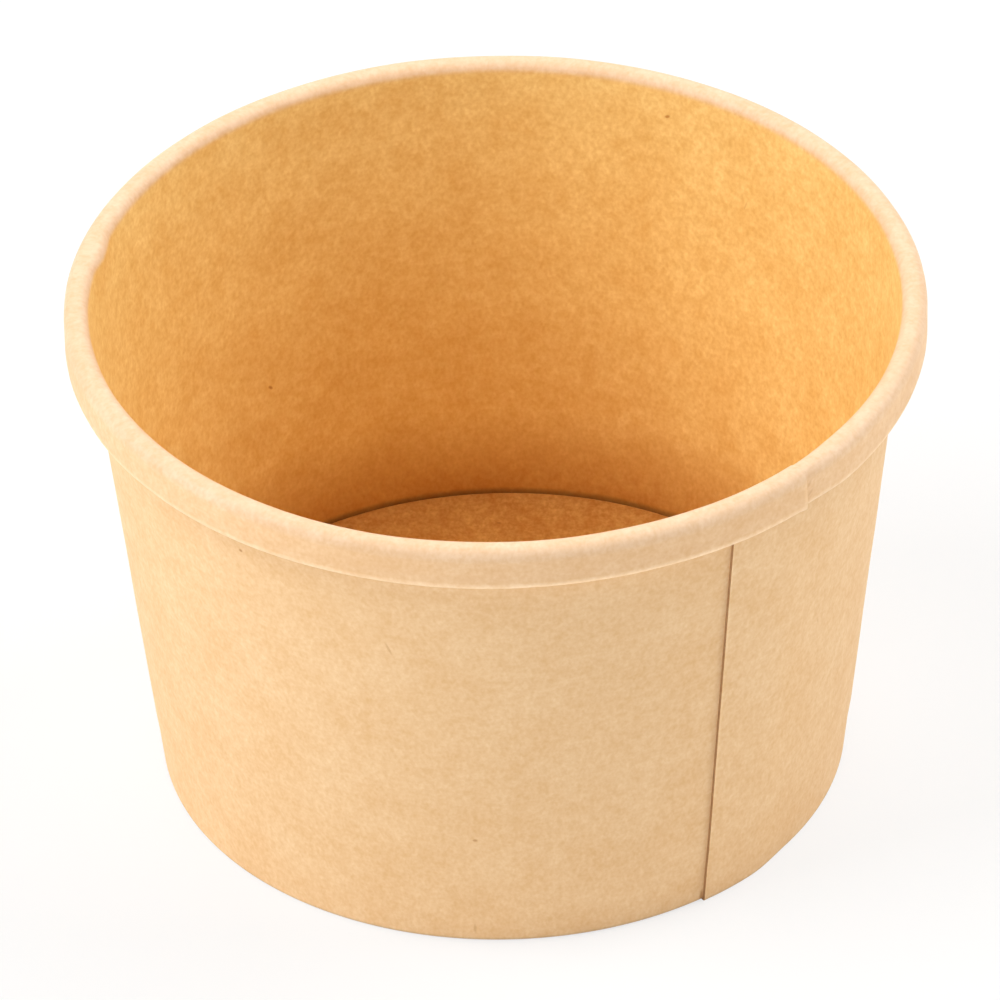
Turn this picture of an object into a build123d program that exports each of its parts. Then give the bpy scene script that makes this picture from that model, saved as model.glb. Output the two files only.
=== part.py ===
from build123d import *
from math import atan, cos, pi, radians, sin
import os

os.makedirs("parts", exist_ok=True)

# Paper ice cream tub, made of two boards glued together: a tapered side wall wrapped
# round and lapped at a side seam, and a bottom disc held in the hem of the wall's foot.
# The base rests on Z = 0, +Z is up, and azimuths count from the front (-Y) towards +X.

# Outside sizes of the tub
rim_diameter = 98.0
base_diameter = 79.0
height = 62.0

# Board thicknesses
wall_board = 0.4
disc_board = 0.4

# Rim: the wall's top edge rolled outwards and pressed to an upright band
rim_overhang = 2.5
rim_height = 4.9
crown_radius = 1.2
rim_foot_radius = 1.1
tail_height = 2.4
tail_gap = 0.55

# Base: the raised floor with its skirt, and the fold and hem that hold the skirt
floor_height = 5.45
disc_bend_radius = 0.9
fold_radius = 0.5
glue_line = 0.05
hem_gap = 0.15
skirt_gap = 0.2

# Side seam: where the outer layer ends, how far it laps, and how high its edges stand
seam_azimuth = 34.3
lap_angle = 10.0
run_out_angle = 10.0
lap_step = 0.3
rim_step = 0.2
station_count = 4

# Flat facets that the board's round bends are laid in: at the crown, at other outside
# bends, and where the board is bent round the inside of a corner or folded
crown_facets = 3
outside_facets = 2
inside_facets = 1

# Lines that both boards follow
rim_radius = rim_diameter / 2
base_radius = base_diameter / 2
wall_slope = (rim_radius - rim_overhang - base_radius) / height
wall_taper = atan(wall_slope)
rim_foot = height - rim_height
tail_top = rim_foot + tail_height
hem_top = floor_height - disc_bend_radius - hem_gap
skirt_foot = wall_board + skirt_gap

# A sharp crease: a bend with no radius
crease = (0, inside_facets)

# How deep each layer at the foot lies under the wall's outer face
skirt_inset = wall_board + glue_line
hem_inset = skirt_inset + disc_board + glue_line


def wall_face(z, inset):
    """Radius, at height z, of the face that lies inset under the wall's outer face."""
    return base_radius + wall_slope * z - inset / cos(wall_taper)


def radial_plane(azimuth):
    """Plane through the tub's axis, with its x pointing outwards at an azimuth."""
    angle = radians(azimuth)
    return Plane(
        origin=(0, 0, 0),
        x_dir=(sin(angle), -cos(angle), 0),
        z_dir=(-cos(angle), -sin(angle), 0),
    )


def fade(share):
    """Smooth fall from 1 to 0 while share goes from 0 to 1."""
    return (1 + cos(pi * share)) / 2


def faceted(corners, bends):
    """Points of an outline through corners, each rounded by its bend: a radius and its flat facets."""
    rounded = FilletPolyline(*corners, radius=[radius for radius, facets in bends], mode=Mode.PRIVATE)
    facet_counts = [facets for radius, facets in bends if radius > 0]
    points = [rounded @ 0]
    for edge in rounded.order_edges():
        steps = facet_counts.pop(0) if edge.geom_type == GeomType.CIRCLE else 1
        points += [edge @ (step / steps) for step in range(1, steps + 1)]
    return points


def wall_section(lap_shift, rim_proud):
    """Section of the wall's board, from the hem round the fold, up the wall and round the rim.

    lap_shift moves the wall outwards and rim_proud thickens the roll's outside.
    """
    roll_radius = rim_radius + rim_proud
    roll_foot = rim_foot - rim_proud
    inner_face = [
        (wall_face(hem_top, hem_inset), hem_top),
        (wall_face(wall_board, hem_inset), wall_board),
        (wall_face(wall_board, wall_board - lap_shift), wall_board),
        (wall_face(height, wall_board - lap_shift), height),
        (roll_radius, height),
        (roll_radius, roll_foot),
        (wall_face(roll_foot, -tail_gap), roll_foot),
        (wall_face(tail_top, -tail_gap), tail_top),
    ]
    outer_face = [
        (wall_face(hem_top, hem_inset + wall_board), hem_top),
        (wall_face(0, hem_inset + wall_board), 0),
        (wall_face(0, -lap_shift), 0),
        (wall_face(height - wall_board, -lap_shift), height - wall_board),
        (rim_radius - wall_board, height - wall_board),
        (rim_radius - wall_board, rim_foot + wall_board),
        (wall_face(rim_foot + wall_board, -tail_gap - wall_board), rim_foot + wall_board),
        (wall_face(tail_top, -tail_gap - wall_board), tail_top),
    ]
    crown = (crown_radius, crown_facets)
    rim_bend = (rim_foot_radius, outside_facets)
    fold = (fold_radius, inside_facets)
    inside_crown = (crown_radius - wall_board, inside_facets)
    inside_rim_bend = (rim_foot_radius - wall_board, inside_facets)
    with BuildSketch() as section:
        with BuildLine():
            Polyline(*faceted(inner_face, [crease, crease, crown, crown, rim_bend, crease]))
            Polyline(*faceted(outer_face, [fold, fold, inside_crown, inside_crown, inside_rim_bend, crease]))
            Line(inner_face[0], outer_face[0])
            Line(inner_face[-1], outer_face[-1])
        make_face()
    return section.sketch


# Side wall: one board all the way round, doubled where its ends lap
lap_end = seam_azimuth + lap_angle
rise_angle = lap_angle + run_out_angle


def rim_rise(azimuth):
    """How far the roll's outside stands proud on its way up to the step at the lap's end."""
    return rim_step * fade((lap_end - azimuth) / rise_angle)


def stations(start, end):
    """Azimuths of the sections that a stretch of the wall is lofted through."""
    return [start + (end - start) * index / (station_count - 1) for index in range(station_count)]


with BuildPart() as side_wall:
    # Single board, round most of the tub
    with BuildSketch(radial_plane(lap_end + run_out_angle)):
        add(wall_section(0, 0))
    revolve(axis=Axis.Z, revolution_arc=360 - rise_angle - run_out_angle)

    # Inner layer before the lap, with its roll starting to rise
    for azimuth in stations(lap_end - rise_angle, seam_azimuth):
        with BuildSketch(radial_plane(azimuth)):
            add(wall_section(0, rim_rise(azimuth)))
    loft(ruled=True)

    # Lap: the outer layer lies on the inner one, and the roll rises on to its step
    for azimuth in stations(seam_azimuth, lap_end):
        with BuildSketch(radial_plane(azimuth)):
            add(wall_section(0, rim_rise(azimuth)))
            add(wall_section(lap_step, rim_rise(azimuth)))
    loft(ruled=True)

    # Outer layer, coming back to the wall's own radius past the inner layer's end
    for azimuth in stations(lap_end, lap_end + run_out_angle):
        with BuildSketch(radial_plane(azimuth)):
            add(wall_section(lap_step * fade((azimuth - lap_end) / run_out_angle), 0))
    loft(ruled=True)

# Bottom disc: a flat floor with its edge turned down into the hem
floor_corners = [
    (0, floor_height),
    (wall_face(floor_height, skirt_inset), floor_height),
    (wall_face(skirt_foot, skirt_inset), skirt_foot),
]
under_corners = [
    (0, floor_height - disc_board),
    (wall_face(floor_height - disc_board, skirt_inset + disc_board), floor_height - disc_board),
    (wall_face(skirt_foot, skirt_inset + disc_board), skirt_foot),
]
with BuildPart() as bottom_disc:
    with BuildSketch(Plane.XZ):
        with BuildLine():
            top_face = Polyline(*faceted(floor_corners, [(disc_bend_radius, outside_facets)]))
            underside = Polyline(*faceted(under_corners, [(disc_bend_radius - disc_board, inside_facets)]))
            Line(top_face @ 0, underside @ 0)
            Line(top_face @ 1, underside @ 1)
        make_face()
    revolve(axis=Axis.Z)

side_wall.part.label = "side_wall"
export_step(side_wall.part, "parts/side_wall.step")

bottom_disc.part.label = "bottom_disc"
export_step(bottom_disc.part, "parts/bottom_disc.step")
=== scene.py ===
# %% [markdown]
# # A kraft board ice cream tub
# The real tub is two pieces of brown board. A fan-shaped sheet is wrapped into a tapered
# wall and lapped at a side seam, its top edge is rolled outwards into the rim, and its foot
# is folded round the skirt of a bottom disc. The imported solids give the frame: everything
# here is in metres and in the same place, so a piece goes where its solid is.

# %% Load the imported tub
from math import atan, cos, pi, radians, sin, tan

import bmesh
import bpy
from mathutils import Matrix, Vector


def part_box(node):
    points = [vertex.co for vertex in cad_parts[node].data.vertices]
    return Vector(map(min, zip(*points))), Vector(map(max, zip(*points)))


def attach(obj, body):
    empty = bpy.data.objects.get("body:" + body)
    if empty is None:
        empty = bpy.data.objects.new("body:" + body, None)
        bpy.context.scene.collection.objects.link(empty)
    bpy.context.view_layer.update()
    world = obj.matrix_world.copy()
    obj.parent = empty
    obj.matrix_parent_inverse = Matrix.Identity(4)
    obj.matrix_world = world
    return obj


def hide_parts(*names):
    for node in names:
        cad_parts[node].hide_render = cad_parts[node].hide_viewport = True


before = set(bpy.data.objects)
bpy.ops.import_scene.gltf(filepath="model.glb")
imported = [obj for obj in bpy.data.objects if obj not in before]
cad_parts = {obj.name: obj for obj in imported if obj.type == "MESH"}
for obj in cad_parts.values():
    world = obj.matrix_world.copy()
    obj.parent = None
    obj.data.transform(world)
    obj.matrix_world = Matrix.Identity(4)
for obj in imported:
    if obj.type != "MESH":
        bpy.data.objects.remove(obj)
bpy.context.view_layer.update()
print("solids in the frame:", sorted(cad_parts))

# %% [markdown]
# ## Camera
# The photograph was taken from far away through a long lens, looking down at about 37
# degrees, and the camera leaned by about one degree. A long lens keeps the rim's and the
# base's ellipses nearly alike, so the lens and the distance are set as real values first,
# and the tub is then moved down in the frame by tilting the camera up a little.

# %% Camera
photo_pixels = 1000
focal_pixels = 12809
camera_distance = 1.470
camera_elevation = radians(36.556)
camera_lean = radians(-1.16)
aim_height = 0.028
aim_below_centre_pixels = 36

camera = bpy.data.objects.new("camera", bpy.data.cameras.new("camera"))
bpy.context.scene.collection.objects.link(camera)
camera.data.sensor_width = 36
camera.data.lens = camera.data.sensor_width * focal_pixels / photo_pixels
camera_turn = Matrix.Rotation(pi / 2 - camera_elevation, 4, "X")
camera_turn @= Matrix.Rotation(camera_lean, 4, "Z")
camera_turn @= Matrix.Rotation(atan(aim_below_centre_pixels / focal_pixels), 4, "X")
camera_place = Vector((0, -cos(camera_elevation), sin(camera_elevation))) * camera_distance
camera_place.z += aim_height
camera.matrix_world = Matrix.Translation(camera_place) @ camera_turn
bpy.context.scene.camera = camera
print("lens", round(camera.data.lens, 1), "mm, camera at", [round(x, 3) for x in camera_place])

# %% [markdown]
# ## Sizes
# The overall sizes are read from the solids, and only what their boxes can't tell is
# written down. The wall's outer face is a cone, so a short function gives the radius of any
# layer at any height, and another the direction at any azimuth. Later cells ask them where
# a board goes, and never repeat the sum.

# %% Sizes from the frame
wall_low, wall_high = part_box("side_wall")
disc_low, disc_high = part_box("bottom_disc")
rim_radius = (wall_high.x - wall_low.x) / 2
tub_height = wall_high.z
base_radius = 0.0395
rim_overhang = 0.0025
board = 0.0004
glue_line = 0.00005
wall_slope = (rim_radius - rim_overhang - base_radius) / tub_height
wall_taper = atan(wall_slope)


def layer(z, depth):
    """Point (radius, height) of the layer that lies that deep under the wall's outer face."""
    return Vector((base_radius + wall_slope * z - depth / cos(wall_taper), z))


def outwards(azimuth):
    """Unit vector away from the tub's axis at an azimuth, counted from the front to the right."""
    return Vector((sin(azimuth), -cos(azimuth), 0))


print("rim radius", round(rim_radius, 4), "height", round(tub_height, 4))

# %% [markdown]
# ## Path of the wall's sheet
# Cut through, the wall is one thin line: up the hem, round the fold under the foot, up the
# wall, over the crown, down the rim's outside and back up inside the roll. It is drawn
# along the middle of the board, and a Solidify modifier gives the thickness later. The bends
# are arcs, worked out from the corners, as a fillet tool would make them.

# %% Path of the wall's sheet
hem_drop = 0.00105
rim_height = 0.00555
tail_gap, tail_height = 0.00055, 0.0024
middle = board / 2
hem_depth = 2 * board + 2 * glue_line + middle
hem_top = disc_high.z - hem_drop
rim_foot = tub_height - rim_height
tail_depth = -tail_gap - middle
tail_top = rim_foot + tail_height
crown_bend, rim_foot_bend, tail_bend, fold_bend = 0.00112, 0.0009, 0.0005, 0.0003
longest_stretch = 0.0024


def rounded_path(corners, bends, arc_steps=8):
    """Points along a line of corners, with each inner corner turned round its own radius."""
    points = [corners[0]]
    for before, corner, after, bend in zip(corners, corners[1:], corners[2:], bends):
        back, onward = (before - corner).normalized(), (after - corner).normalized()
        half = back.angle(onward) / 2
        centre = corner + (back + onward).normalized() * bend / sin(half)
        first = corner + back * bend / tan(half) - centre
        last = corner + onward * bend / tan(half) - centre
        spread = pi - 2 * half
        for step in range(arc_steps + 1):
            turned = spread * step / arc_steps
            points.append(centre + (first * sin(spread - turned) + last * sin(turned)) / sin(spread))
    return points + [corners[-1]]


def filled(points, longest):
    """The same path, with points added where a straight stretch is longer than that."""
    path = [points[0]]
    for start, end in zip(points, points[1:]):
        parts = max(1, round((end - start).length / longest))
        path += [start.lerp(end, part / parts) for part in range(1, parts + 1)]
    return path


wall_corners = [
    layer(hem_top, hem_depth),
    layer(middle, hem_depth),
    layer(middle, middle),
    layer(tub_height - middle, middle),
    Vector((rim_radius - middle, tub_height - middle)),
    Vector((rim_radius - middle, rim_foot + middle)),
    layer(rim_foot + middle, tail_depth),
    layer(tail_top, tail_depth),
]
wall_bends = [fold_bend, fold_bend, crown_bend, crown_bend, rim_foot_bend, tail_bend]
wall_path = filled(rounded_path(wall_corners, wall_bends), longest_stretch)
print("points along the wall's path:", len(wall_path))

# %% [markdown]
# ## Wrapping the sheet
# The maker wraps the sheet on a cone a little more than once round, so that its ends lap by
# ten degrees. A closed ring of faces could not show that. So the path is drawn by
# extruding one vertex from point to point, where the inner end lies, and Spin then turns
# it through the full circle and the lap. The two ends stay separate, as on the real sheet.

# %% Draw a path and spin it
seam_azimuth, lap_angle = radians(34.3), radians(10)
lap_end = seam_azimuth + lap_angle
column_angle = radians(1)


def spun_sheet(name, path, start, turn):
    """A sheet made by drawing a path at an azimuth and spinning it, and its number of columns."""
    points = [outwards(start) * radius + Vector((0, 0, z)) for radius, z in path]
    bpy.ops.object.select_all(action="DESELECT")
    bpy.ops.mesh.primitive_plane_add(size=board, location=points[0])
    piece = bpy.context.object
    piece.name = piece.data.name = name
    bpy.ops.object.transform_apply(location=True, rotation=True, scale=True)
    bpy.ops.object.mode_set(mode="EDIT")
    bpy.ops.mesh.select_mode(type="VERT")
    bpy.ops.mesh.merge(type="CENTER")
    for here, there in zip(points, points[1:]):
        bpy.ops.mesh.extrude_vertices_move(TRANSFORM_OT_translate={"value": there - here})
    bpy.ops.mesh.select_all(action="SELECT")
    columns = round(turn / column_angle)
    bpy.ops.mesh.spin(steps=columns, angle=turn, center=(0, 0, 0), axis=(0, 0, 1))
    return piece, columns


kraft_wall, wall_columns = spun_sheet("kraft_wall", wall_path, lap_end, 2 * pi + lap_angle)
rows = len(wall_path)
print("columns", wall_columns, "vertices", (wall_columns + 1) * rows)

# %% [markdown]
# ## Laying the lap
# At the seam one end has to lie on the other. On the bench the outer end is pushed up by
# the board under it, so here the last columns of the sheet are fattened along their
# normals, a little more with each column, until they lie one board out. Along the roll the
# same push goes inwards, because the sheet has turned over there, and that leaves the inner
# end as a step on the outside of the rim. Over the crown the press squeezes both ends nearly
# level, so there most of the push is taken back, in a few nested picks that fade it out.

# %% Lay the outer end on the inner one
sheet_board = 0.00036
run_out_columns = 10
lap_columns = round(lap_angle / column_angle)
lip_lift = 0.00002
crown_squeeze_share = 0.8
squeeze_drops = (1.6, 1.2, 0.8, 0.4)
crown_levels = [tub_height - crown_bend * drop for drop in squeeze_drops]


def pick(numbers):
    """Leaves only the sheet's vertices with these numbers selected, in edit mode."""
    bpy.ops.mesh.select_all(action="DESELECT")
    edited = bmesh.from_edit_mesh(kraft_wall.data)
    edited.verts.ensure_lookup_table()
    for number in numbers:
        edited.verts[number].select_set(True)
    edited.select_flush(True)
    bmesh.update_edit_mesh(kraft_wall.data)


def ease(share):
    """Smooth rise from 0 to 1 while share goes from 0 to 1."""
    return (1 - cos(pi * share)) / 2


first_lifted = wall_columns - lap_columns - run_out_columns
for step in range(run_out_columns):
    lifted = range((first_lifted + step + 1) * rows, (wall_columns + 1) * rows)
    rise = sheet_board * (ease((step + 1) / run_out_columns) - ease(step / run_out_columns))
    pick(lifted)
    bpy.ops.transform.shrink_fatten(value=rise)
    for level in crown_levels:
        pick(number for number in lifted if wall_path[number % rows].y > level)
        bpy.ops.transform.shrink_fatten(value=-rise * crown_squeeze_share / len(crown_levels))
pick(range(wall_columns * rows, (wall_columns + 1) * rows))
bpy.ops.transform.shrink_fatten(value=lip_lift)
print("outer end lies", sheet_board, "m out over", lap_columns, "columns")

# %% [markdown]
# ## The step, the swelling and a knuckle in the rim
# Two boards in the roll make it a little fatter, half of it outwards, and the inner end's
# edge stands up as a ridge. On the left the press has left a knuckle, where the crown bulges
# into the mouth. Such soft bumps are made by nested picks: each pick is narrower than the
# one before and pushes by an equal share, so the bump fades out at its edge. The drops say
# how many bends under the crown's top the first and the last pick stop.

# %% Raise the ridge, swell the roll and push the knuckle
step_ridge = 0.00012
roll_swell, swell_reach = 0.00016, radians(18)
swell_drops = (0.3, 1.6)
knuckle_azimuth, knuckle_push = radians(-103.5), 0.0005
knuckle_reaches = (radians(5), radians(1))
knuckle_drops = (2.2, 1.2)
nested_picks = 8
lap_middle = (seam_azimuth + lap_end) / 2


def between(ends, share):
    """Value that goes from the first end to the second while share goes from 0 to 1."""
    return ends[0] + (ends[1] - ends[0]) * share


crown_row = max(range(rows), key=lambda row: wall_path[row].y)
face_rows = range(crown_row + 1, rows)
ridge_rows = [row for row in face_rows if wall_path[row].x > rim_radius - rim_foot_bend]
pick(row for row in ridge_rows if wall_path[row].y < crown_levels[1])
bpy.ops.transform.shrink_fatten(value=-step_ridge)

edited = bmesh.from_edit_mesh(kraft_wall.data)
places = [vert.co.copy() for vert in edited.verts]
flat_places = [Vector((place.x, place.y, 0)) for place in places]
from_lap = [outwards(lap_middle).angle(place) for place in flat_places]
from_knuckle = [outwards(knuckle_azimuth).angle(place) for place in flat_places]
radii = [place.length for place in flat_places]
numbers = range(len(places))
for step in range(nested_picks):
    share = (step + 1) / nested_picks
    reach = between((swell_reach, lap_angle / 2), share)
    inside = between((rim_radius - rim_overhang, rim_radius - rim_overhang / 2), share)
    below = tub_height - crown_bend * between(swell_drops, share)
    in_roll = [n for n in numbers if radii[n] >= inside and places[n].z < below]
    pick(n for n in in_roll if from_lap[n] <= reach)
    bpy.ops.transform.shrink_fatten(value=-roll_swell / nested_picks)

    reach = between(knuckle_reaches, share)
    level = tub_height - crown_bend * between(knuckle_drops, share)
    mouth_side = [n for n in numbers if radii[n] < rim_radius - crown_bend and places[n].z > level]
    pick(n for n in mouth_side if from_knuckle[n] <= reach)
    bpy.ops.transform.translate(value=outwards(knuckle_azimuth) * -knuckle_push / nested_picks)
print("roll swells by", roll_swell, "m and the step's ridge stands", step_ridge, "m up")

# %% [markdown]
# ## Level foot and crown
# The lap pushed some of the fold down and some of the crown up. On the real tub the press
# and the table keep both level. Scaling the heights of those points to nothing, about the
# level that they belong at, does the same.

# %% Level the foot and the crown
foot_level, crown_level = sheet_board / 2, tub_height - middle
edited = bmesh.from_edit_mesh(kraft_wall.data)
too_low = [vert.index for vert in edited.verts if vert.co.z < foot_level]
too_high = [vert.index for vert in edited.verts if vert.co.z > crown_level]
for level, strays in [(foot_level, too_low), (crown_level, too_high)]:
    pick(strays)
    bpy.ops.transform.resize(value=(1, 1, 0), center_override=(0, 0, level))
bpy.ops.object.mode_set(mode="OBJECT")
heights = [vert.co.z for vert in kraft_wall.data.vertices]
print("middle line from", round(min(heights), 5), "to", round(max(heights), 5))

# %% [markdown]
# ## A flat map of the sheet
# Fibres and marks lie in the sheet, and were there before it was wrapped. So the piece gets
# a UV map that is the sheet laid flat, in metres: across it goes with the column, and up it
# goes with the length of the path. Unwrap could find nearly the same map, but here the rows
# and columns are known, and the two layers of the lap keep separate places on it.

# %% Lay the sheet flat in a UV map
map_radius = base_radius
path_lengths = [0.0]
for start, end in zip(wall_path, wall_path[1:]):
    path_lengths.append(path_lengths[-1] + (end - start).length)
flat_map = kraft_wall.data.uv_layers.active
flat_map.name = "flat_sheet"
for corner in kraft_wall.data.loops:
    column, row = divmod(corner.vertex_index, rows)
    flat_map.data[corner.index].uv = (column * column_angle * map_radius, path_lengths[row])
sheet_width = wall_columns * column_angle * map_radius
print("flat sheet", round(sheet_width, 3), "by", round(path_lengths[-1], 3), "m")

# %% [markdown]
# ## Board thickness and a hand-made edge
# The rolled rim of a real tub is never perfectly round. A Displace modifier with a soft
# cloud texture gives the wall and the rim a waviness of about a tenth of a millimetre, with
# the foot left out so that the tub stands flat. Solidify then makes the line a board. It
# also hands out the finishes, outside, inside and cut edges, so their slots are made first.

# %% Give the sheet its waviness and thickness
waviness = 0.00015
wave_length = 0.014
calm_height = 0.006
smooth_angle = radians(40)
kraft_wall.vertex_groups.new(name="above_foot")
above_foot = [vert.index for vert in kraft_wall.data.vertices if vert.co.z > calm_height]
kraft_wall.vertex_groups["above_foot"].add(above_foot, 1.0, "REPLACE")
waves = bpy.data.textures.new("soft_waves", "CLOUDS")
waves.noise_scale = wave_length
waves.noise_depth = 1

wavy = kraft_wall.modifiers.new("waviness", "DISPLACE")
wavy.texture = waves
wavy.texture_coords = "LOCAL"
wavy.vertex_group = "above_foot"
wavy.strength = waviness
wavy.mid_level = 0
outside_slot, inside_slot, edge_slot = range(3)
for slot in [outside_slot, inside_slot, edge_slot]:
    kraft_wall.data.materials.append(None)
thick = kraft_wall.modifiers.new("board", "SOLIDIFY")
thick.thickness = sheet_board
thick.offset = 0
thick.material_offset = inside_slot
thick.material_offset_rim = edge_slot
bpy.context.view_layer.objects.active = kraft_wall
for modifier in ["waviness", "board"]:
    bpy.ops.object.modifier_apply(modifier=modifier)
bpy.ops.object.shade_smooth_by_angle(angle=smooth_angle)
print("wall faces", len(kraft_wall.data.polygons))

# %% [markdown]
# ## Bottom disc
# The floor is a second, round sheet with its edge turned down and held in the hem. It is
# drawn and spun in the same way, from the axis out to the foot of its skirt. The spin
# closes on itself, and at the axis many points meet, so doubles are merged and the normals
# are recalculated before the sheet gets its thickness.

# %% Draw and spin the bottom disc
disc_depth = board + glue_line + middle
disc_bend = 0.0007
disc_corners = [
    Vector((0, disc_high.z - middle)),
    layer(disc_high.z - middle, disc_depth),
    layer(disc_low.z, disc_depth),
]
disc_path = filled(rounded_path(disc_corners, [disc_bend]), longest_stretch)
kraft_floor, disc_columns = spun_sheet("kraft_floor", disc_path, 0, 2 * pi)
bpy.ops.mesh.select_all(action="SELECT")
bpy.ops.mesh.remove_doubles(threshold=board / 100)
bpy.ops.mesh.normals_make_consistent(inside=False)
bpy.ops.object.mode_set(mode="OBJECT")
disc_thick = kraft_floor.modifiers.new("board", "SOLIDIFY")
disc_thick.thickness = board
disc_thick.offset = 0
bpy.ops.object.modifier_apply(modifier="board")
bpy.ops.object.shade_smooth_by_angle(angle=smooth_angle)
print("floor columns", disc_columns, "faces", len(kraft_floor.data.polygons))

# %% [markdown]
# ## Kraft board
# Kraft board is unbleached paper: an even tan at arm's length, cloudy at a few millimetres,
# and matted from light and dark fibres close up. An image could be painted, but flat noise
# at several scales in millimetres gives the same and has no edges. Stretching a noise makes
# its spots into fibres. These helpers add nodes and make such noises.

# %% Node helpers
def add_node(tree, kind, inputs, **settings):
    """Adds a shader node, sets its options, and fills or links its inputs."""
    node = tree.nodes.new(kind)
    for name, value in settings.items():
        setattr(node, name, value)
    for name, value in inputs.items():
        if isinstance(value, bpy.types.NodeSocket):
            tree.links.new(value, node.inputs[name])
        else:
            node.inputs[name].default_value = value
    return node


def noise(tree, place, scale, swing):
    """Brightness that swings about 1, with that many spots a millimetre."""
    field = add_node(
        tree, "ShaderNodeTexNoise",
        {"Vector": place, "Scale": scale, "Detail": noise_detail, "Roughness": noise_roughness},
        noise_dimensions="2D")
    spread = add_node(
        tree, "ShaderNodeMapRange",
        {"Value": field.outputs[0], "From Min": noise_low, "From Max": noise_high,
         "To Min": 1 - swing, "To Max": 1 + swing})
    return spread.outputs["Result"]


def fibres(tree, place, turn, swing):
    """Brightness of a mat of short fibres that lie at a turn on the sheet."""
    laid = add_node(
        tree, "ShaderNodeMapping", {"Vector": place, "Rotation": (0, 0, turn), "Scale": fibre_size},
        vector_type="TEXTURE")
    return noise(tree, laid.outputs[0], 1, swing)


def product(tree, factors):
    """Product of several brightness factors."""
    total = factors[0]
    for factor in factors[1:]:
        total = add_node(tree, "ShaderNodeMath", {0: total, 1: factor}, operation="MULTIPLY").outputs[0]
    return total


noise_detail, noise_roughness = 1, 0.6
noise_low, noise_high = 0.3, 0.7
fibre_size = (1.1, 0.4, 1)
print("fibres are about", fibre_size[0], "mm long and", fibre_size[1], "mm wide")

# %% [markdown]
# ## Kraft finish
# One function makes every finish of the board, so that they differ only in tone, gloss and
# contrast. Its clouds are given as spots a millimetre, each with its own swing. Where the
# tone changes along the sheet, it is given as bands: stops on a colour ramp that runs up the
# flat map, with the fibres' contrast in its alpha. Some bands are painted highlight at the
# crown and the rim's bend, and painted shade at the foot and in the floor's corner. Specks and
# scratches are marks: small ovals on the same map, each a brightness factor of its own; some
# marks are painted highlights along edges and painted shade in dents and corners. Darker
# fibres and specks are also browner, so the change in brightness is tinted: blue gets more of
# it than green, and red less.

# %% Kraft finish
def oval_mark(tree, place, across, up, half_length, half_width, turn, brightness):
    """Brightness factor of one oval mark, placed on a sheet in metres, at whatever height."""
    oval = add_node(
        tree, "ShaderNodeMapping",
        {"Vector": place, "Location": (across * mm, up * mm, 0), "Rotation": (0, 0, turn),
         "Scale": (half_length * mm, half_width * mm, mm)},
        vector_type="TEXTURE")
    away = add_node(tree, "ShaderNodeVectorMath", {0: oval.outputs[0]}, operation="LENGTH")
    fade = add_node(
        tree, "ShaderNodeMapRange",
        {"Value": away.outputs["Value"], "From Min": mark_core, "From Max": 1,
         "To Min": brightness, "To Max": 1})
    return fade.outputs["Result"]


def banded_tone(tree, place, bands):
    """Colour and fibre contrast along the sheet, from bands of (length up, tone, contrast share)."""
    lowest, highest = bands[0][0], bands[-1][0]
    up = add_node(tree, "ShaderNodeSeparateXYZ", {"Vector": place}).outputs["Y"]
    along = add_node(
        tree, "ShaderNodeMapRange", {"Value": up, "From Min": lowest * mm, "From Max": highest * mm})
    ramp = add_node(tree, "ShaderNodeValToRGB", {0: along.outputs["Result"]})
    stops = ramp.color_ramp.elements
    for length, tone, share in bands[1:-1]:
        stops.new((length - lowest) / (highest - lowest))
    for stop, (length, tone, share) in zip(stops, bands):
        stop.color = (*tone, share)
    return ramp.outputs["Color"], ramp.outputs["Alpha"]


def tinted(tree, colour, brightness, tint):
    """A colour made lighter or darker, with red, green and blue each taking its own share."""
    change = add_node(tree, "ShaderNodeMath", {0: brightness, 1: 1}, operation="SUBTRACT")
    shares = add_node(
        tree, "ShaderNodeVectorMath", {0: tint, "Scale": change.outputs[0]}, operation="SCALE")
    changed = add_node(
        tree, "ShaderNodeVectorMath", {0: shares.outputs[0], 1: colour, 2: colour},
        operation="MULTIPLY_ADD")
    return changed.outputs[0]


def kraft_finish(name, bands, roughness, contrast, on_sheet=True, marks=()):
    """A kraft board material with its tone and its calmness in bands, and with marks."""
    material = bpy.data.materials.new(name)
    material.use_nodes = True
    tree = material.node_tree
    shader = tree.nodes["Principled BSDF"]
    if on_sheet:
        place = add_node(tree, "ShaderNodeUVMap", {}, uv_map="flat_sheet").outputs["UV"]
    else:
        place = add_node(tree, "ShaderNodeTexCoord", {}).outputs["Object"]
    place = add_node(tree, "ShaderNodeVectorMath", {0: place, "Scale": mm}, operation="SCALE").outputs[0]
    weave = [noise(tree, place, spots, swing * contrast) for spots, swing in cloud_swings.items()]
    weave += [fibres(tree, place, turn, fibre_swing * contrast) for turn in fibre_turns]
    tone, share = banded_tone(tree, place, bands)
    matted = add_node(
        tree, "ShaderNodeMapRange", {"Value": share, "To Min": 1, "To Max": product(tree, weave)})
    colour = tinted(tree, tone, matted.outputs["Result"], fibre_tint)
    if marks:
        marked = product(tree, [oval_mark(tree, place, *mark) for mark in marks])
        colour = tinted(tree, colour, marked, mark_tint)
    shader.inputs["Roughness"].default_value = roughness
    tree.links.new(colour, shader.inputs["Base Color"])
    return material


mm = 1000
cloud_swings = {2.0: 0.035, 0.15: 0.03, 0.7: 0.038}
fibre_turns, fibre_swing = (radians(70), radians(105)), 0.02
mark_core = 0.4
fibre_tint = (0.5, 1.0, 1.8)
mark_tint = (0.65, 1.0, 1.3)
print("patterns are in millimetres,", mm, "to the metre")

# %% [markdown]
# ## Places on the sheet
# The bands and marks need places on the flat map. On the wall the length up the sheet grows
# evenly with height, so one point of the path is enough to count from. At the roll the
# lengths are read from the path itself: where the crown begins to turn, where the upright
# face begins, and where it bends back under.

# %% Places on the sheet
middle_row = next(row for row in range(rows) if wall_path[row].y > tub_height / 2)


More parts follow.
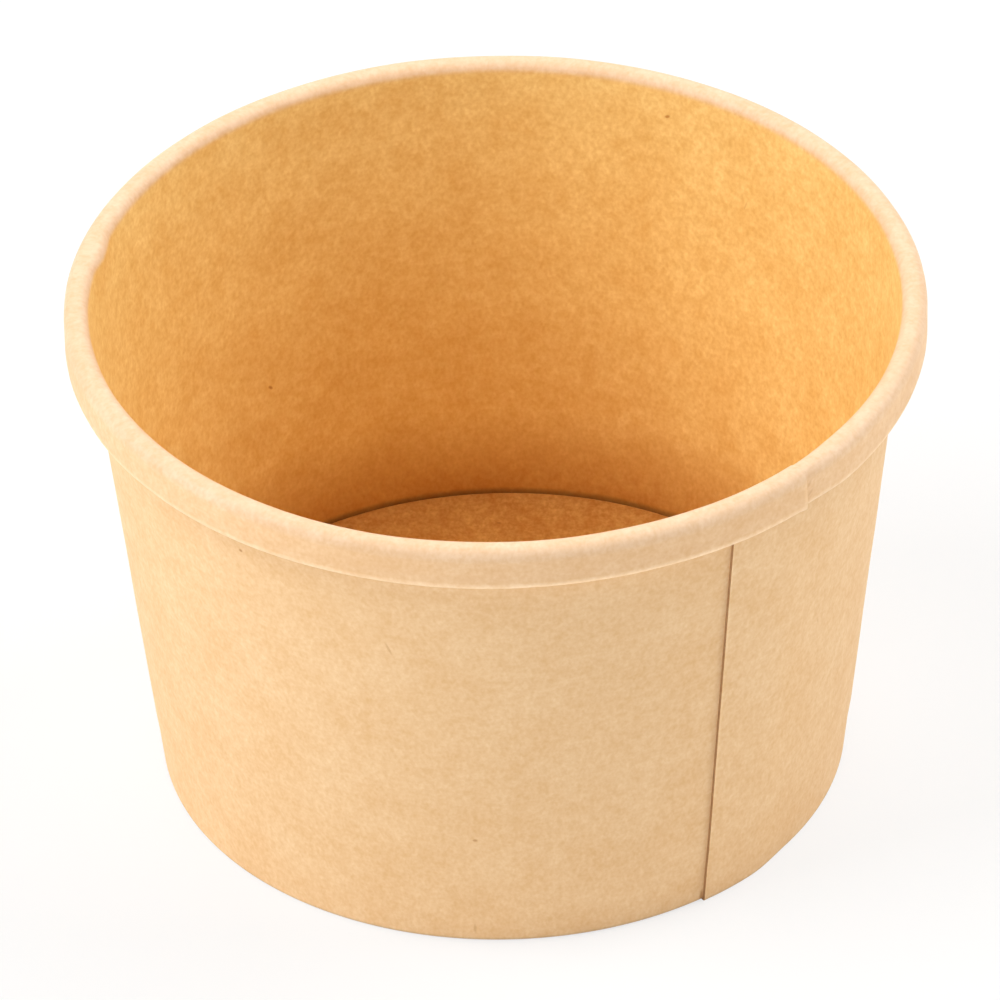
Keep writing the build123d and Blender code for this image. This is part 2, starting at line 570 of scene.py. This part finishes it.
def up_wall(height):
    """Length up the sheet at a height on the wall."""
    return path_lengths[middle_row] + (height - wall_path[middle_row].y) / cos(wall_taper)


def on_wall(azimuth, height):
    """Place on the flat sheet of a spot on the wall, from its azimuth in degrees and its height."""
    return (lap_end - radians(azimuth)) % (2 * pi) * map_radius, up_wall(height)


def down_face(height):
    """Length up the sheet where the roll's outside has come down to a height."""
    return next(path_lengths[row] for row in face_rows if wall_path[row].y < height)


crown_turn = up_wall(tub_height - middle - crown_bend)
face_top = down_face(tub_height - middle - crown_bend)
bend_top = down_face(rim_foot + middle + rim_foot_bend)
outer_end = (2 * pi + lap_angle) * map_radius
print("crown turns at", round(crown_turn, 4), "and ends at", round(face_top, 4), "m up the sheet")

# %% [markdown]
# ## Outside of the wall
# Outside, the board is bare and matt. The fold at the foot is painted darker, as painted shade
# where the sheet turns under towards the table. The cut edge at the seam is raw board, painted
# darker still as painted shade of the lap's crevice, and the pale line beside it is a painted
# highlight of the lit edge. The marks are two dark specks, a fibre, a rub and a tick at the foot
# of this one tub, and the dark corner at the foot of the seam, which is painted shade. Each has
# its place, half its length and width, its turn and its brightness.

# %% Outside of the wall
outside_tone = (0.815, 0.535, 0.278)
# The darker tone in the lowest band is painted shade on the fold, where the sheet turns under towards the
# table.
foot_shade_tone = (0.50, 0.33, 0.18)
# The cut edges' tone is the raw board's darker core, made darker still as painted shade of the crevice
# along the lap.
cut_edge_and_shade_tone = (0.45, 0.25, 0.11)
foot_shade_low, foot_shade_high = 0.0001, 0.0006
outside_bands = [
    (up_wall(foot_shade_low), foot_shade_tone, 1),
    (up_wall(foot_shade_high), outside_tone, 1),
    (up_wall(tub_height), outside_tone, 1),
]
edge_bands = [(0, cut_edge_and_shade_tone, 1), (up_wall(tub_height), cut_edge_and_shade_tone, 1)]
upright = radians(90)
outside_marks = [
    (*on_wall(-39.42, 0.05283), 0.00028, 0.00026, 0, 0.50),
    (*on_wall(-4.86, 0.01592), 0.00034, 0.00026, 0, 0.60),
    (*on_wall(-16.5, 0.04437), 0.00110, 0.00018, radians(71), 0.78),
    (*on_wall(55.38, 0.03352), 0.00050, 0.00018, radians(80), 0.88),
    (*on_wall(-5.38, 0.00195), 0.00085, 0.00022, upright, 0.78),
    # The dark corner at the foot of the seam is painted shade.
    (*on_wall(34.0, 0.00080), 0.00110, 0.00035, upright, 0.60),
    # This long pale line beside the outer end's cut edge is a painted highlight of the lit edge.
    (outer_end, up_wall(tub_height / 2), 0.04, 0.00035, upright, 1.10),
]
wall_outside = kraft_finish(
    "kraft_outside", outside_bands, roughness=0.75, contrast=1.15, marks=outside_marks)
cut_edge = kraft_finish("kraft_cut_edge", edge_bands, roughness=0.85, contrast=1.0)
kraft_wall.data.materials[outside_slot] = wall_outside
kraft_wall.data.materials[edge_slot] = cut_edge
print("marks outside:", len(outside_marks))

# %% [markdown]
# ## Inside, rim and floor
# Inside, a film over the fibres makes the board deeper in colour and stronger in contrast.
# Towards the floor it is painted darker as painted shade, ending in a painted shade line in the
# corner at the floor. The same side of the sheet covers the roll, because the sheet turns over
# there. The crown and the bend at the rim's foot are painted paler, as painted highlights.
# Beside the step, a pale line is a painted highlight of its edge, and two dark marks are
# painted shade in the dents of the press.

# %% Inside, rim and floor
# The darkest band, where the wall meets the floor, is a painted shade line in that corner.
corner_shade_line_tone = (0.38, 0.17, 0.03)
# Near the floor the inside is painted darker, as painted shade deep in the bowl.
painted_shade_tone = (0.60, 0.280, 0.058)
inside_tone = (0.89, 0.58, 0.195)
floor_tone = (0.64, 0.310, 0.073)
# The crown's paler tone is a painted highlight where the roll's top faces the light.
crown_highlight_tone = (0.815, 0.55, 0.335)
rim_tone = (0.83, 0.53, 0.278)
# The palest tone, round the bend at the rim's foot, is a painted highlight of light bounced up from the
# table.
bend_highlight_tone = (0.97, 0.69, 0.415)
floor_height = disc_high.z
corner_shade_below, corner_shade_above, painted_shade_reach = 0.0002, 0.0003, 0.0110
crown_blend, face_blend = 0.0006, 0.0004
bend_before, bend_after = 0.0001, 0.0003
rim_calm = 0.6
inside_bands = [
    (up_wall(floor_height - corner_shade_below), corner_shade_line_tone, 1),
    (up_wall(floor_height + corner_shade_above), painted_shade_tone, 1),
    (up_wall(floor_height + painted_shade_reach), inside_tone, 1),
    (crown_turn, inside_tone, 1),
    (crown_turn + crown_blend, crown_highlight_tone, rim_calm),
    (face_top - crown_blend, crown_highlight_tone, rim_calm),
    (face_top + face_blend, rim_tone, rim_calm),
    (bend_top - bend_before, rim_tone, rim_calm),
    (bend_top + bend_after, bend_highlight_tone, rim_calm),
    (path_lengths[-1], bend_highlight_tone, rim_calm),
]
face_middle = (face_top + bend_top) / 2
dent_shade_offset = 0.0005
dent_shade_across = 2 * pi * map_radius - dent_shade_offset
inside_marks = [
    (*on_wall(-141.08, 0.02596), 0.00046, 0.00024, radians(-50), 0.45),
    (*on_wall(153.5, 0.05771), 0.00040, 0.00024, radians(35), 0.45),
    (*on_wall(139.28, 0.04975), 0.00080, 0.00014, radians(75), 0.80),
    # This pale line along the inner end's edge on the rim is a painted highlight of the step's lit edge.
    (0, face_middle, 0.00240, 0.00045, upright, 1.12),
    # These two dark marks beside the step are painted shade in the press's dents.
    (dent_shade_across, face_middle - 0.0008, 0.00070, 0.00022, radians(60), 0.85),
    (dent_shade_across - 0.0002, face_middle + 0.0005, 0.00065, 0.00022, radians(50), 0.85),
]
floor_marks = [(-0.0001, 0.0330, 0.00034, 0.00022, radians(-25), 0.60)]
floor_bands = [(-base_radius, floor_tone, 1), (base_radius, floor_tone, 1)]
wall_inside = kraft_finish(
    "kraft_inside", inside_bands, roughness=0.55, contrast=1.8, marks=inside_marks)
floor_finish = kraft_finish(
    "kraft_floor_face", floor_bands, roughness=0.65, contrast=3.2, on_sheet=False, marks=floor_marks)
kraft_wall.data.materials[inside_slot] = wall_inside
kraft_floor.data.materials.append(floor_finish)
print("finishes:", [slot.name for slot in kraft_wall.material_slots])

# %% [markdown]
# ## Floor
# The photograph has a plain white ground. A backdrop curve could be modelled, but a large
# pale card is enough: it bounces light up under the rim as a studio table does. To the
# camera it glows white, and keeps a part of its own shading, so that the tub's soft shadow
# stays on it. The glow lights nothing, so the card isn't sampled as a lamp.

# %% Floor
floor_size = 6.0
floor_white = 0.9
floor_glow_share = 0.7
bpy.ops.object.select_all(action="DESELECT")
bpy.ops.mesh.primitive_plane_add(size=floor_size)
table = bpy.context.object
table.name = "table"
card = bpy.data.materials.new("white_card")
card.cycles.emission_sampling = "NONE"
card.use_nodes = True
card_tree = card.node_tree
card_tree.nodes.remove(card_tree.nodes["Principled BSDF"])


def seen_directly(tree):
    """1 for what the camera sees, straight or in a reflection or through glass."""
    path = add_node(tree, "ShaderNodeLightPath", {})
    seen = path.outputs["Is Camera Ray"]
    for ray in ["Is Glossy Ray", "Is Transmission Ray"]:
        both = add_node(tree, "ShaderNodeMath", {0: seen, 1: path.outputs[ray]}, operation="MAXIMUM")
        seen = both.outputs[0]
    return seen


paper = add_node(card_tree, "ShaderNodeBsdfDiffuse", {"Color": (floor_white, floor_white, floor_white, 1)})
glow = add_node(card_tree, "ShaderNodeEmission", {"Color": (1, 1, 1, 1), "Strength": 1})
glowing = add_node(
    card_tree, "ShaderNodeMath", {0: seen_directly(card_tree), 1: floor_glow_share}, operation="MULTIPLY")
card_mix = add_node(
    card_tree, "ShaderNodeMixShader",
    {0: glowing.outputs[0], 1: paper.outputs[0], 2: glow.outputs[0]})
card_tree.links.new(card_mix.outputs[0], card_tree.nodes["Material Output"].inputs["Surface"])
table.data.materials.append(card)
print("floor", floor_size, "m wide")

# %% [markdown]
# ## Light
# The tub is lit softly from all sides and a little more from the left, which leaves the
# deep end of the bowl dark. Four wide softboxes do that: two at the sides, which shine
# across the mouth on to the far walls, one behind for the crown, and a weak one in front that
# fills the wall and the bowl's far side. The world glows near the horizon only, as the white
# walls of a light tent do, and looks white to the camera.

# %% Light
world_strength = 0.9
dark_from = 0.6
softbox_size = 0.9
softboxes = {
    "left_softbox": ((-0.86, -0.15, 0.88), 13.8),
    "right_softbox": ((0.80, 0.22, 0.90), 10.2),
    "back_softbox": ((0.0, 0.95, 0.95), 5.2),
    "front_softbox": ((0.0, -1.32, 0.62), 2.9),
}
world = bpy.data.worlds.new("white_room")
bpy.context.scene.world = world
world.use_nodes = True
world_tree = world.node_tree
surround = world_tree.nodes["Background"]
surround.inputs["Color"].default_value = (1, 1, 1, 1)
direction = add_node(world_tree, "ShaderNodeTexCoord", {}).outputs["Generated"]
upwards = add_node(world_tree, "ShaderNodeSeparateXYZ", {"Vector": direction}).outputs["Z"]
fall = add_node(
    world_tree, "ShaderNodeMapRange",
    {"Value": upwards, "From Min": 0, "From Max": dark_from, "To Min": world_strength, "To Max": 0})
level = add_node(
    world_tree, "ShaderNodeMapRange",
    {"Value": seen_directly(world_tree), "To Min": fall.outputs["Result"], "To Max": 1})
world_tree.links.new(level.outputs["Result"], surround.inputs["Strength"])

for name, (place, watts) in softboxes.items():
    softbox = bpy.data.objects.new(name, bpy.data.lights.new(name, "AREA"))
    bpy.context.scene.collection.objects.link(softbox)
    softbox.data.energy = watts
    softbox.data.size = softbox_size
    facing = Vector(place).to_track_quat("Z", "Y").to_matrix().to_4x4()
    softbox.matrix_world = Matrix.Translation(place) @ facing
bpy.context.scene.view_settings.view_transform = "Standard"
print("softboxes:", list(softboxes))

# %% [markdown]
# ## Hand over
# Each piece moves with the root body, and the solid it stands for is hidden.

# %% Hand over
for piece, solid in [(kraft_wall, "side_wall"), (kraft_floor, "bottom_disc")]:
    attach(piece, "root")
    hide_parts(solid)
